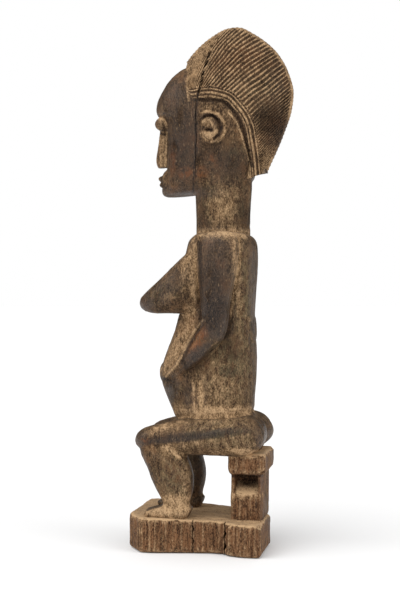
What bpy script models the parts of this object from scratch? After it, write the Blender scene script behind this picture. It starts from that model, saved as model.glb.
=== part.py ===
"""Seated female fertility figure on a stool and plinth, carved from one block of dark wood.

Metres, +Z up. The figure faces -Y and its left side is +X. The origin is the centre of the
plinth's underside. The plinth and the stool have sizes of their own. The figure is a free
carving, so its forms are written in UNIT, a share of its own height, from the plinth's top.
"""

import math

import bmesh
import bpy
from mathutils import Vector

MM = 0.001

# Plinth
PLINTH_THICKNESS = 26 * MM  # at the middle of its length
PLINTH_WIDTH = 88 * MM
PLINTH_FALL = 3.2 * MM  # how much lower the top lies at the back than at the front
PLINTH_TOE_MARGIN = 12.5 * MM  # plinth in front of the toes
PLINTH_HEEL_MARGIN = 2.8 * MM  # plinth behind the stool
PLINTH_EDGE = 2.2 * MM  # worn rounding of the edges

# Stool
STOOL_WIDTH = 47 * MM
STOOL_DEPTH = 23.5 * MM
STOOL_EDGE = 1.4 * MM
SLAB_THICKNESS = 17 * MM
SLAB_OVERHANG_BACK = 3.8 * MM
SLAB_OVERHANG_FRONT = 2.6 * MM
SLAB_OVERHANG_SIDE = 3 * MM
SLAB_EDGE = 3 * MM
POCKET_DEPTH = 14 * MM  # the pocket cut in each side of the stool
POCKET_WALL = 3.8 * MM  # wood left in front of and behind the pocket
POCKET_BACK_SHARE = 0.22  # of the stool's height under the slab: the pocket's upright back
POCKET_LIP_SHARE = 0.46  # of the same height: how far down the pocket opens

# Figure
FIGURE_HEIGHT = 394 * MM  # from the plinth's top to the top of the hair crest
UNIT = FIGURE_HEIGHT / 394  # 1 mm at that height
SEAT_LEVEL = 52
TOE_TIP_Y = -40.5
STOOL_BACK_Y = 53.7
SINK = 3 * MM  # how deep one form is set into the next, so that they are one body

# Hair and cracks
GROOVE_COUNT = 49
GROOVE_DEPTH = 1.0 * MM
RIM_HALF_THICKNESS = 4.5 * MM
BAND_WIDTH = 6.0 * MM
BAND_RISE = 1.4 * MM
NAPE_DROP = 6.0 * MM  # how much lower the hair ends on the left of the nape than on the right
CRACK_WIDTH = 1.5 * MM  # the drying crack down the left side of the head
SPLIT_WIDTH = 1.6 * MM  # the two drying cracks in the plinth's left side
SPLIT_DEPTH = 4 * MM

PLINTH_FRONT = TOE_TIP_Y * UNIT - PLINTH_TOE_MARGIN
PLINTH_BACK = STOOL_BACK_Y * UNIT + PLINTH_HEEL_MARGIN
PLINTH_LENGTH = PLINTH_BACK - PLINTH_FRONT
CENTRE_Y = (PLINTH_FRONT + PLINTH_BACK) / 2

# Plinth outline, hewn by hand: (share of half the width, share of the length from the front)
PLINTH_OUTLINE = [
    (0.50, 0.0),
    (0.93, 0.12),
    (0.92, 0.22),
    (0.80, 0.47),
    (0.74, 0.63),
    (0.76, 0.71),
    (0.89, 0.77),
    (0.96, 0.86),
    (0.95, 1.0),
    (-0.23, 1.0),
    (-0.75, 0.83),
    (-0.76, 0.68),
    (-0.86, 0.45),
    (-1.0, 0.25),
    (-1.04, 0.05),
    (-0.94, 0.0),
]
SPLITS = [(0.79, 0.50), (0.78, 0.735)]  # where on the outline the two cracks are

# Body: (z, front y, back y, half width, rise to the back)
TRUNK = [
    (49.5, -4, 50, 26, 0),
    (62, -7, 52.5, 31, 0),
    (74, -8, 48, 31, 0),
    (86, -7, 44.5, 29.5, 0),
    (108, -5, 45.7, 29, 0),
    (125, -6, 46.4, 28, 0),
    (145, -9, 45.6, 27, 0),
    (162, -12, 44.8, 27.5, 0),
    (182, -13, 45.9, 30, 0),
    (202, -11, 46.7, 34, 0),
    (214, -8.6, 46.5, 35.5, 0),
    (220, -6.6, 45.2, 34.5, 0),
    (224, -2.6, 42.2, 31.5, 0),
    (226, 0.5, 38, 26, 0),
]
BELLY = [
    (74, -17.5, 22, 21, 0),
    (84, -22.3, 22, 22, 0),
    (95, -27.2, 22, 23, 0),
    (105, -30.6, 22, 23.5, 0),
    (113, -31.4, 22, 23.5, 0),
    (121, -30, 22, 23.5, 0),
    (134, -25.2, 22, 23, 0),
    (147, -20.2, 22, 22, 0),
    (160, -16.4, 22, 21, 0),
    (174, -11, 22, 18, 0),
]
NECK = [
    (215, -2.5, 41.7, 20.5, 0),
    (240, -2.2, 41.6, 20, 0),
    (262, -3.5, 42.6, 20.5, 0),
    (272, -5, 43, 20.5, 0),
]
HEAD = [
    (259.5, -21, 30, 11, 3),
    (262.5, -28.6, 44, 16.5, 5.5),
    (268.5, -30.4, 47, 20, 6.3),
    (279, -26.8, 52, 23, 5),
    (292, -25, 57, 25, 3),
    (306, -25, 61, 26.5, 1),
    (316, -27, 62, 27.2, 0),
    (322.5, -34, 61, 27.5, 0),
    (332, -33.8, 59, 27.3, 0),
    (341, -29.7, 55, 26, 0),
    (350, -23.9, 48, 23, 0),
    (358, -15, 38, 17, 0),
    (362, -7, 28, 10, 0),
]

# Limbs: (t, x, y, z, half thickness across, half thickness in X)
BREAST = [
    (0, 17, 6, 190.5, 29, 15),
    (1, 18.5, -8, 184.9, 23.5, 16),
    (2, 20.5, -19, 179.6, 17.9, 15.5),
    (3, 21.5, -30, 174, 12.6, 13),
    (4, 22.3, -38.5, 170.8, 7.9, 9.5),
    (5, 22.7, -42.5, 170.2, 4.8, 5.5),
    (6, 22.8, -44.0, 170, 1.5, 2),
]
ARM = [
    (0, 26.5, 22.5, 221.8, 9, 4),
    (1, 32.5, 22.5, 217, 15.5, 10),
    (2, 34, 21.3, 202, 16, 11),
    (3, 35, 20.9, 187, 14, 10.5),
    (4, 35.5, 20.3, 172, 11.6, 9.5),
    (5, 36, 20.2, 158, 10.3, 8.5),
    (6, 35.5, 17.8, 148, 10.2, 8),
    (7, 33, 11.8, 140.5, 9.5, 7.5),
    (8, 29, 4, 132.5, 8.6, 7),
    (9, 24.5, -4, 124, 7.4, 6),
    (10, 19.5, -13, 116, 5.8, 4.8),
    (11, 14.5, -21.5, 110.2, 4.4, 3.5),
    (12, 11.5, -27, 107.5, 1.8, 2),
]
THIGH = [
    (0, 17, 55.5, 63.5, 3, 6),
    (1, 18, 52, 64, 9.5, 13),
    (2, 19, 45, 65, 15, 17.5),
    (3, 20, 34, 65.5, 16.8, 19),
    (4, 21.5, 18, 65.5, 16.2, 18),
    (5, 22.8, 0, 64.6, 14.9, 16),
    (6, 23.5, -18, 63.3, 12.9, 14.5),
    (7, 24, -33, 61.5, 10.8, 13),
    (8, 24, -41, 60, 8.6, 11),
    (9, 24, -46.2, 58.2, 3.5, 5),
]
SHIN = [
    (0, 24, -28.5, 66, 11, 10),
    (1, 24, -25.6, 57, 16.3, 12.5),
    (2, 24, -20.8, 44, 16.5, 13.2),
    (3, 24, -16.5, 31, 16.5, 13),
    (4, 24, -14.7, 21, 14.6, 12),
    (5, 24, -14.3, 11, 11.2, 10.8),
    (6, 24, -14.5, 3, 10.6, 10.5),
    (7, 24, -14.5, -2, 10.6, 10.5),
]
FOOT = [
    (0, 24, -1, 3, 4.5, 7.5),
    (1, 24, -6, 4.2, 6, 9.8),
    (2, 24.5, -16, 4.4, 6.4, 10.3),
    (3, 25, -27, 3.6, 4.8, 10.8),
    (4, 25.5, -35.5, 2.6, 3.4, 10.8),
]
TOES = 5
TOE_RADII = (2.1, 4, 2.9)
TOE_FIRST_X, TOE_PITCH = 17.4, 3.9
TOE_STEP = 0.5  # how far each toe stands behind the one before
NOSE = [
    (0, 0, -25.5, 323, 6.6, 2.8),
    (1, 0, -27.4, 303, 7, 3.2),
    (2, 0, -28.2, 288, 8.3, 4.6),
    (3, 0, -27.6, 281, 7, 4.4),
]

# Crest: the hairline and the rim, each (u, y, z), and the hair's half width at the hairline
HAIRLINE = [
    (0, -9.3, 358),
    (0.5, -8.2, 352.5),
    (1.0, -7.1, 345.5),
    (1.5, -4.6, 339.2),
    (2.2, 7.5, 339.4),
    (2.76, 15.4, 338.5),
    (4.04, 28.3, 333.5),
    (5.67, 38.8, 319),
    (7.0, 45.5, 304),
    (8.37, 49.3, 289.5),
    (10, 52.2, 275.9),
]
RIM = [
    (0, -10.4, 366),
    (0.5, -5.2, 372.4),
    (1.0, 1.9, 379.2),
    (1.5, 10.5, 385.5),
    (2.2, 23, 391.4),
    (2.76, 36.8, 390.9),
    (4.04, 62.4, 371.6),
    (5.67, 75.4, 345),
    (7.0, 75.0, 324.5),
    (8.37, 67.6, 303),
    (10, 56.0, 276.7),
]
HAIR_HALF_WIDTH = [
    (0, 10.5),
    (0.5, 17.5),
    (1.0, 22.5),
    (1.5, 26.6),
    (2.2, 29.0),
    (4.04, 28.5),
    (5.67, 27),
    (7.0, 25),
    (8.37, 22.5),
    (10, 16),
]
BAND_STARTS, BAND_FULL = 1.45, 1.8  # where along the hairline the band comes up
BAND_PROFILE = [(1.0, -5.0), (0.85, 1.0), (0.5, 0.1), (0.2, 1.0)]  # shares of width and rise
NAPE_STARTS = 8.6  # where along the hairline the drop at the nape begins
NAPE_TUCK = 1.2  # how much further in, as a share, the hair is set into the neck there
CREST_MIDDLE = (28, 325)
CREST_BULGE = 1.15  # over 1, the sides of the crest swell before they meet at the rim
HAIRLINE_NUDGE = 0.02  # the step that finds the hairline's direction
BAND_LEAST = 0.12  # the share of the band's width where there is no band
RIDGE_TIP, GROOVE_TIP = 0.6, 0.0  # how far ridges and grooves stand over the rim

# The drying crack down crest and face: (z, y)
CRACK = [
    (256, 1.0),
    (271, 1.0),
    (291, 2.3),
    (307, 2.8),
    (323, 2.3),
    (334, 3.2),
    (341, 4.8),
    (353, 5.6),
    (363, 7.8),
    (373, 10.4),
]
CRACK_OUTSIDE_X, CRACK_INSIDE_X = 34, 14

# Rounded forms: the centre and the three radii
NAVEL = ((0, -31.6, 112.5), (4.0, 3.2, 4.2))
LIPS = [((0, -30.6, 271.5), (6.6, 3.6, 2.4)), ((0, -30.0, 266.5), (5.8, 3.4, 2.4))]
MUZZLE = ((0, -23.5, 270.5), (13, 7.5, 9))
EYE = ((10.5, -28.3, 314.8), (7.0, 6.5, 5.8))

CHEST_LEVELS = [49.5, 62, 76, 96, 118, 140, 162, 182, 199, 212, 218.5, 223, 226]
HEAD_LEVELS = [259.5, 261.5, 265, 276, 305, 315, 319, 323, 333, 346, 356, 362]

EAR_CENTRE = (26.4, 13.3, 308)
EAR_RIM = {"radii": (10.2, 11.4), "tube": 1.5, "span": (-100, 120), "count": 7}
EAR_CURL = {"radii": (4.4, 6.2), "tube": 2.8, "span": (-150, 148), "count": 6}


def at(x, y, z):
    """The place, in metres, of a point of the figure given in UNIT above the plinth's top."""
    return Vector((x * UNIT, y * UNIT - CENTRE_Y, PLINTH_THICKNESS + z * UNIT))


def through(keys, t):
    """The values at t on the smooth curve through keys, each key being (t, value, value, ...)."""
    i = sum(key[0] <= t for key in keys) - 1
    i = max(0, min(len(keys) - 2, i))
    a, b = keys[i], keys[i + 1]
    before, after = keys[max(i - 1, 0)], keys[min(i + 2, len(keys) - 1)]
    span = b[0] - a[0]
    s = (t - a[0]) / span
    values = []
    for n in range(1, len(a)):
        leaving = (b[n] - before[n]) / (b[0] - before[0]) * span
        arriving = (after[n] - a[n]) / (after[0] - a[0]) * span
        values.append(
            a[n] * (2 * s**3 - 3 * s**2 + 1)
            + leaving * (s**3 - 2 * s**2 + s)
            + b[n] * (3 * s**2 - 2 * s**3)
            + arriving * (s**3 - s**2)
        )
    return values


def steps(first, last, count):
    """count + 1 evenly spaced values."""
    return [first + (last - first) * i / count for i in range(count + 1)]


def rise(t, first, last):
    """0 up to first, 1 from last, and straight between."""
    return max(0.0, min(1.0, (t - first) / (last - first)))


def oval(centre, u, v, sides, power=2.0):
    """The points of a superellipse about centre, whose half-axes are the vectors u and v."""
    points = []
    for i in range(sides):
        angle = 2 * math.pi * (i + 0.5) / sides
        c, s = math.cos(angle), math.sin(angle)
        along_u = math.copysign(abs(c) ** (2 / power), c)
        along_v = math.copysign(abs(s) ** (2 / power), s)
        points.append(centre + u * along_u + v * along_v)
    return points


def add_mesh(name, bm, collection):
    bmesh.ops.recalc_face_normals(bm, faces=bm.faces)
    mesh = bpy.data.meshes.new(name)
    bm.to_mesh(mesh)
    bm.free()
    mesh.shade_smooth()
    obj = bpy.data.objects.new(name, mesh)
    collection.objects.link(obj)
    return obj


def loft(name, rings, collection):
    """A closed solid through rings of equal length, with a flat cap at each end."""
    bm = bmesh.new()
    loops = [[bm.verts.new(p) for p in ring] for ring in rings]
    for low, high in zip(loops, loops[1:]):
        for i, vertex in enumerate(low):
            j = (i + 1) % len(low)
            bm.faces.new((vertex, low[j], high[j], high[i]))
    bm.faces.new(reversed(loops[0]))
    bm.faces.new(loops[-1])
    return add_mesh(name, bm, collection)


def level_sections(name, rows, levels, sides, power, collection):
    """A loft of level sections. Each row is (z, front y, back y, half width, rise to the back)."""
    rings = []
    for z in levels:
        front, back, half_width, lift = through(rows, z)
        centre = at(0, (front + back) / 2, z)
        deep = Vector((0, (back - front) / 2, lift)) * UNIT
        rings.append(oval(centre, Vector((half_width * UNIT, 0, 0)), deep, sides, power))
    return loft(name, rings, collection)


def limb(name, rows, levels, sides, side, collection, power=2.0, upright=False):
    """A loft along a path, with its sections square to the path, or upright."""
    centres = [at(side * x, y, z) for x, y, z, _, _ in (through(rows, t) for t in levels)]
    rings = []
    for i, t in enumerate(levels):
        ahead = centres[min(i + 1, len(centres) - 1)] - centres[max(i - 1, 0)]
        across = Vector((1, 0, 0)).cross(ahead).normalized()
        outward = ahead.cross(across).normalized()
        if upright:
            across, outward = Vector((0, 0, 1)), Vector((1, 0, 0))
        _, _, _, half_across, half_out = through(rows, t)
        rings.append(
            oval(centres[i], across * half_across * UNIT, outward * half_out * UNIT, sides, power)
        )
    return loft(name, rings, collection)


def ball(name, centre, radii, collection, segments=10, rings=5):
    """An ellipsoid at a point of the figure, with radii in UNIT."""
    bm = bmesh.new()
    bmesh.ops.create_uvsphere(bm, u_segments=segments, v_segments=rings, radius=UNIT)
    bmesh.ops.scale(bm, vec=radii, verts=bm.verts)
    bmesh.ops.translate(bm, vec=at(*centre), verts=bm.verts)
    return add_mesh(name, bm, collection)


def add_bevel(obj, width):
    bevel = obj.modifiers.new("worn edges", "BEVEL")
    bevel.width = width
    bevel.segments = 2
    bevel.limit_method = "ANGLE"
    bevel.angle_limit = math.radians(40)


def plinth_point(width_share, length_share):
    return width_share * PLINTH_WIDTH / 2, (length_share - 0.5) * PLINTH_LENGTH


def make_plinth(collection):
    """The block under feet and stool, pinched between them and lower at the back."""
    bm = bmesh.new()
    corners = [bm.verts.new((*plinth_point(*share), 0)) for share in PLINTH_OUTLINE]
    made = bmesh.ops.extrude_face_region(bm, geom=[bm.faces.new(corners)])
    for vertex in made["geom"]:
        if isinstance(vertex, bmesh.types.BMVert):
            vertex.co.z = PLINTH_THICKNESS - PLINTH_FALL * vertex.co.y / PLINTH_LENGTH
    obj = add_mesh("plinth", bm, collection)
    add_bevel(obj, PLINTH_EDGE)
    return obj


def make_splits(collection):
    """Cutters for the upright drying cracks in the plinth's left side."""
    for number, share in enumerate(SPLITS):
        x, y = plinth_point(*share)
        outer, inner = x + SPLIT_DEPTH, x - SPLIT_DEPTH
        rings = [
            [
                Vector((outer, y - SPLIT_WIDTH, z)),
                Vector((outer, y + SPLIT_WIDTH, z)),
                Vector((inner, y, z)),
            ]
            for z in (-SINK, PLINTH_THICKNESS + SINK)
        ]
        loft(f"split_{number}", rings, collection)


def make_block(name, low, high, edge, collection):
    """A box between two corners in metres, with rounded edges."""
    bm = bmesh.new()
    bmesh.ops.create_cube(bm, size=1)
    bmesh.ops.scale(bm, vec=Vector(high) - Vector(low), verts=bm.verts)
    bmesh.ops.translate(bm, vec=(Vector(high) + Vector(low)) / 2, verts=bm.verts)
    add_bevel(add_mesh(name, bm, collection), edge)


def stool_levels():
    """The stool's front, back, slab underside and seat, in metres."""
    back = STOOL_BACK_Y * UNIT - CENTRE_Y
    seat = PLINTH_THICKNESS + SEAT_LEVEL * UNIT
    return back - STOOL_DEPTH, back, seat - SLAB_THICKNESS, seat


def make_stool(collection):
    front, back, underside, seat = stool_levels()
    half = STOOL_WIDTH / 2
    foot = PLINTH_THICKNESS - SINK
    make_block(
        "stool_body", (-half, front, foot), (half, back, underside + SINK), STOOL_EDGE, collection
    )
    slab_half = half + SLAB_OVERHANG_SIDE
    make_block(
        "stool_slab",
        (-slab_half, front - SLAB_OVERHANG_FRONT, underside),
        (slab_half, back + SLAB_OVERHANG_BACK, seat),
        SLAB_EDGE,
        collection,
    )


def make_pocket(side, word, collection):
    """The cutter for the pocket in one side of the stool, whose floor slopes out to a lip."""
    front, back, underside, _ = stool_levels()
    tall = underside - PLINTH_THICKNESS
    inside = STOOL_WIDTH / 2 - POCKET_DEPTH
    outside = STOOL_WIDTH / 2 + SINK
    profile = [
        (inside, underside),
        (inside, underside - POCKET_BACK_SHARE * tall),
        (STOOL_WIDTH / 2, underside - POCKET_LIP_SHARE * tall),
        (outside, underside - POCKET_LIP_SHARE * tall),
        (outside, underside),
    ]
    rings = [
        [Vector((side * x, y, z)) for x, z in profile]
        for y in (front + POCKET_WALL, back - POCKET_WALL)
    ]
    loft(f"pocket_{word}", rings, collection)


def make_body(side, word, collection):
    """Breast, arm and leg of one side."""
    limb(f"breast_{word}", BREAST, steps(0, 6, 6), 16, side, collection, upright=True)
    limb(f"arm_{word}", ARM, steps(0, 12, 12), 12, side, collection, 2.3)
    limb(f"thigh_{word}", THIGH, steps(0, 9, 9), 14, side, collection, 2.2)
    limb(f"shin_{word}", SHIN, steps(0, 7, 7), 12, side, collection, 2.3)
    limb(f"foot_{word}", FOOT, steps(0, 4, 4), 10, side, collection, 2.8)
    _, long, tall = TOE_RADII
    for toe in range(TOES):
        place = (side * (TOE_FIRST_X + TOE_PITCH * toe), TOE_TIP_Y + long + TOE_STEP * toe, tall)
        ball(f"toe_{word}_{toe}", place, TOE_RADII, collection, 6, 4)


def make_trunk(collection):
    """The parts on the middle plane, from the lap to the crown."""
    level_sections("trunk", TRUNK, CHEST_LEVELS, 18, 2.5, collection)
    level_sections("belly", BELLY, steps(BELLY[0][0], BELLY[-1][0], 8), 16, 2.1, collection)
    level_sections("neck", NECK, steps(NECK[0][0], NECK[-1][0], 2), 18, 2.1, collection)
    level_sections("head", HEAD, HEAD_LEVELS, 20, 2.8, collection)
    ball("navel", *NAVEL, collection)


def make_face(collection):
    """A long straight nose, heavy-lidded eyes under the brow and small full lips."""
    limb("nose", NOSE, steps(0, 3, 5), 10, 1, collection)
    ball("muzzle", *MUZZLE, collection)
    for word, lip in zip(("upper", "lower"), LIPS):
        ball(f"lip_{word}", *lip, collection)
    (x, y, z), radii = EYE
    for side, word in ((1, "left"), (-1, "right")):
        ball(f"eye_{word}", (side * x, y, z), radii, collection)


def make_ear(side, word, collection):
    """A thin outer rim that opens forwards, round a thick inner curl."""
    for part, shape in (("rim", EAR_RIM), ("curl", EAR_CURL)):
        across, up = shape["radii"]
        first, last = shape["span"]
        rings = []
        for degrees in steps(first, last, shape["count"]):
            angle = math.radians(degrees)
            spoke = Vector((0, math.cos(angle), math.sin(angle)))
            reach = Vector((0, across * math.cos(angle), up * math.sin(angle))) * UNIT
            x, y, z = EAR_CENTRE
            thick = shape["tube"] * UNIT * (0.5 if degrees in (first, last) else 1.0)
            outward = Vector((side * 1.2 * thick, 0, 0))
            rings.append(oval(at(side * x, y, z) + reach, spoke * thick, outward, 6))
        loft(f"ear_{part}_{word}", rings, collection)


def hair_section(u, is_groove):
    """Half of the crest's section at u, as (x, y, z): over the band, then out to the rim."""
    y, z = through(HAIRLINE, u)
    ahead_y, ahead_z = through(HAIRLINE, min(u + HAIRLINE_NUDGE, HAIRLINE[-1][0]))
    back_y, back_z = through(HAIRLINE, max(u - HAIRLINE_NUDGE, 0))
    along = Vector((ahead_y - back_y, ahead_z - back_z)).normalized()
    towards_ear = Vector((along.y, -along.x))
    rim_y, rim_z = through(RIM, u)
    (half_width,) = through(HAIR_HALF_WIDTH, u)
    band = rise(u, BAND_STARTS, BAND_FULL)
    nape = rise(u, NAPE_STARTS, HAIRLINE[-1][0])
    section = []
    for share, height in BAND_PROFILE:
        reach = BAND_WIDTH / UNIT * (BAND_LEAST + (1 - BAND_LEAST) * band) * share
        lift = BAND_RISE / UNIT * height * (band if height > 0 else 1.0)
        reach *= 1 + NAPE_TUCK * nape if height < 0 else 1.0
        x = half_width - GROOVE_DEPTH / UNIT + lift
        section.append((x, y + towards_ear.x * reach, z + towards_ear.y * reach))
    for v in (0, 0.5, 1):
        x = half_width + (RIM_HALF_THICKNESS / UNIT - half_width) * v**CREST_BULGE
        if is_groove:
            x -= GROOVE_DEPTH / UNIT
        section.append((x, y + (rim_y - y) * v, z + (rim_z - z) * v))
    return section


def make_crest(collection):
    """The fan of hair: radial grooves from the double band round the temples to the rim."""
    columns = 2 * GROOVE_COUNT
    last = HAIRLINE[-1][0]
    rings = []
    for i in range(columns + 1):
        is_groove = i % 2 == 1
        u = last * i / columns
        half = hair_section(u, is_groove)
        rim = Vector(half[-1][1:])
        outward = (rim - Vector(CREST_MIDDLE)).normalized()
        tip = rim + outward * (GROOVE_TIP if is_groove else RIDGE_TIP)
        drop = NAPE_DROP / UNIT * rise(u, NAPE_STARTS, last)
        fade = [1 - k / (len(half) - 1) for k in range(len(half))]
        ring = [at(x, y, z - drop * share) for (x, y, z), share in zip(half, fade)]
        ring.append(at(0, tip.x, tip.y))
        ring += [at(-x, y, z) for x, y, z in reversed(half)]
        rings.append(ring)
    loft("hair_crest", rings, collection)


def make_crack(collection):
    """The cutter for the drying crack, a wedge that narrows inwards and towards its top."""
    rings = []
    for number, (z, y) in enumerate(CRACK):
        half = CRACK_WIDTH / UNIT / 2 * (0.35 if number == len(CRACK) - 1 else 1.0)
        rings.append(
            [
                at(CRACK_OUTSIDE_X, y - half, z),
                at(CRACK_OUTSIDE_X, y + half, z),
                at(CRACK_INSIDE_X, y, z),
            ]
        )
    loft("crack", rings, collection)


def make_wood():
    wood = bpy.data.materials.new("dark wood")
    wood.use_nodes = True
    shader = wood.node_tree.nodes["Principled BSDF"]
    shader.inputs["Base Color"].default_value = (0.085, 0.052, 0.032, 1)
    shader.inputs["Roughness"].default_value = 0.55
    shader.inputs["Metallic"].default_value = 0.0
    return wood


def helper_collection(name):
    collection = bpy.data.collections.new(name)
    bpy.context.scene.collection.children.link(collection)
    return collection


def add_boolean(obj, operation, collection):
    boolean = obj.modifiers.new(collection.name, "BOOLEAN")
    boolean.operation = operation
    boolean.operand_type = "COLLECTION"
    boolean.collection = collection
    boolean.solver = "EXACT"


def main():
    for obj in list(bpy.data.objects):
        bpy.data.objects.remove(obj, do_unlink=True)
    forms = helper_collection("carved forms")
    cuts = helper_collection("cuts")
    make_trunk(forms)
    make_face(forms)
    make_crest(forms)
    make_stool(forms)
    make_crack(cuts)
    make_splits(cuts)
    for side, word in ((1, "left"), (-1, "right")):
        make_body(side, word, forms)
        make_ear(side, word, forms)
        make_pocket(side, word, cuts)
    for helper in (*forms.objects, *cuts.objects):
        helper.hide_render = True
        helper.display_type = "WIRE"
    figure = make_plinth(bpy.context.scene.collection)
    figure.name = "seated_figure"
    add_boolean(figure, "UNION", forms)
    add_boolean(figure, "DIFFERENCE", cuts)
    figure.data.materials.append(make_wood())
    figure.data.set_sharp_from_angle(angle=math.radians(45))


main()
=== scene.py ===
"""Looks of the seated fertility figure: fine carving, worn wood, patina and dust.

All forms are in millimetres in the CAD's frame, with heights over the plinth's top. They are the
forms of the solid with finer sections. Marks that are seen in the photograph are given by their
pixels there, and the same marks are repeated on the side that the photograph doesn't show.
"""

import math

import bmesh
import bpy
import numpy as np
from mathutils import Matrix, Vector
from mathutils.bvhtree import BVHTree


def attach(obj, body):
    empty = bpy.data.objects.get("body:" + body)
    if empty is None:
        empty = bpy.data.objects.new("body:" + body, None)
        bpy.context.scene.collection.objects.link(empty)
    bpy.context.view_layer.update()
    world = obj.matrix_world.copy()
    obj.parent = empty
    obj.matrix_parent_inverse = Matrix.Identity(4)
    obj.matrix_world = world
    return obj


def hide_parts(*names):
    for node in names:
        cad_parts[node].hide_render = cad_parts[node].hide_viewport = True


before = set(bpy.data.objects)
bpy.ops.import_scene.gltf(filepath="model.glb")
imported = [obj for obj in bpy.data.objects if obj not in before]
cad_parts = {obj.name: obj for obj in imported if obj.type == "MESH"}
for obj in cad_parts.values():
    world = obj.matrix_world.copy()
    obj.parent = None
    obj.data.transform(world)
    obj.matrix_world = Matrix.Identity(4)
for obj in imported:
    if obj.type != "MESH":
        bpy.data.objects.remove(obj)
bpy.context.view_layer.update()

NODE = "seated_figure"
MM = 0.001

# Camera, as in the photograph
AZIMUTH = math.radians(102)
DISTANCE = 880
TARGET = np.array((0, -1.5, 198.4))
FOCAL_PIXELS = 1080
PHOTO_SIZE = (400, 600)
SENSOR = 36
TOWARDS_CAMERA = np.array((math.sin(AZIMUTH), -math.cos(AZIMUTH), 0))
CAMERA_RIGHT = np.array((math.cos(AZIMUTH), math.sin(AZIMUTH), 0))

# Voxel sizes of the carved surfaces
HEAD_VOXEL = 0.71
BODY_VOXEL = 1.03
BASE_VOXEL = 0.72

# Smoothing of a carved surface: rounds, and the share of each move that is made in hollows
HEAD_SOFTENING = (4, 0.35)
BODY_SOFTENING = (4, 0.5)
BASE_SOFTENING = (3, 0.5)
OUTWARD_SHARE = 0.25

# Plinth and stool
PLINTH_TOP = 26
PLINTH_WIDTH = 88
PLINTH_LENGTH = 109.5
PLINTH_FALL = 3.2
PLINTH_EDGE = 2.4
CENTRE_Y = 1.75
STOOL_FRONT, STOOL_BACK, STOOL_WIDTH = 30.2, 53.7, 47
STOOL_EDGE = 1.4
SEAT, SLAB_UNDERSIDE = 52, 35
SLAB = {"front": 27.6, "back": 57.5, "width": 53, "edge": 3.2}
OVERLAP = 3
# The pocket in the stool's side: its depth, its walls, and how far under the slab its floor lies
POCKET = {"depth": 15, "front_wall": 2.6, "back_wall": 2.2, "inner": 7, "lip": 14.5, "mouth": 17.5}
# Outline of the plinth: shares of its half width and of its length from the front
PLINTH_OUTLINE = [
    (0.50, 0.0), (0.93, 0.12), (0.92, 0.22), (0.80, 0.47), (0.74, 0.63), (0.76, 0.71),
    (0.89, 0.77), (0.96, 0.86), (0.95, 1.0), (-0.23, 1.0), (-0.75, 0.83), (-0.76, 0.68),
    (-0.86, 0.45), (-1.0, 0.25), (-1.04, 0.05), (-0.94, 0.0),
]
# Splits down the plinth's side, in the same shares, and the form of a split
SPLITS = [(0.79, 0.50), (0.78, 0.735)]
SPLIT = {"outside": 6, "inside": 4, "wander": 0.7, "half": 0.75, "uneven": 0.35}

# Body: (z, front y, back y, half width, rise to the back)
TRUNK = [
    (49.5, -4, 50, 26, 0),
    (62, -7, 52.5, 31, 0),
    (74, -8, 48, 31, 0),
    (86, -7, 44.5, 29.5, 0),
    (108, -5, 45.7, 29, 0),
    (125, -6, 46.4, 28, 0),
    (145, -9, 45.6, 27, 0),
    (162, -12, 44.8, 27.5, 0),
    (182, -13, 45.9, 30, 0),
    (202, -11, 46.7, 34, 0),
    (214, -8.6, 46.5, 35.5, 0),
    (220, -6.6, 45.2, 34.5, 0),
    (224, -2.6, 42.2, 31.5, 0),
    (226, 0.5, 38, 26, 0),
]
BELLY = [
    (74, -17.5, 22, 21, 0),
    (84, -22.3, 22, 22, 0),
    (95, -27.2, 22, 23, 0),
    (105, -30.6, 22, 23.5, 0),
    (113, -31.4, 22, 23.5, 0),
    (121, -30, 22, 23.5, 0),
    (134, -25.2, 22, 23, 0),
    (147, -20.2, 22, 22, 0),
    (160, -16.4, 22, 21, 0),
    (174, -11, 22, 18, 0),
]
NECK = [
    (215, -2.5, 41.7, 20.5, 0),
    (240, -2.2, 41.6, 20, 0),
    (262, -3.5, 42.6, 20.5, 0),
    (272, -5, 43, 20.5, 0),
]
HEAD = [
    (259.5, -21, 30, 11, 3),
    (262.5, -28.6, 42.5, 16.5, 5.5),
    (268.5, -30.4, 45.5, 20, 6.3),
    (279, -26.8, 52, 23, 5),
    (292, -25, 57, 25, 3),
    (306, -25, 61, 26.5, 1),
    (316, -27, 62, 27.2, 0),
    (322.5, -34, 61, 27.5, 0),
    (332, -33.8, 59, 27.3, 0),
    (341, -29.7, 55, 26, 0),
    (350, -23.9, 48, 23, 0),
    (358, -15, 38, 17, 0),
    (362, -7, 28, 10, 0),
]

# Limbs, from root to tip: (x, y, z, half thickness across, half thickness in X)
BREAST = [
    (17, 6, 190.5, 29, 15),
    (18.5, -8, 184.9, 23.5, 16),
    (20.5, -19, 179.6, 17.9, 15.5),
    (21.5, -30, 174, 12.6, 13),
    (22.3, -38.5, 170.8, 7.9, 9.5),
    (22.7, -42.5, 170.2, 4.8, 5.5),
    (22.8, -44.0, 170, 1.5, 2),
]
ARM = [
    (26.5, 22.5, 221.8, 9, 4),
    (32.5, 22.5, 217, 15.5, 10),
    (34, 21.3, 202, 16, 11),
    (35, 20.9, 187, 14, 10.5),
    (35.5, 20.3, 172, 11.6, 9.5),
    (36, 20.2, 158, 10.3, 8.5),
    (35.5, 17.8, 148, 10.2, 8),
    (33, 11.8, 140.5, 9.5, 7.5),
    (29, 4, 132.5, 8.6, 7),
    (24.5, -4, 124, 7.4, 6),
    (19.5, -13, 116, 5.8, 4.8),
    (14.5, -21.5, 110.2, 4.4, 3.5),
    (11.5, -27, 107.5, 1.8, 2),
]
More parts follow.
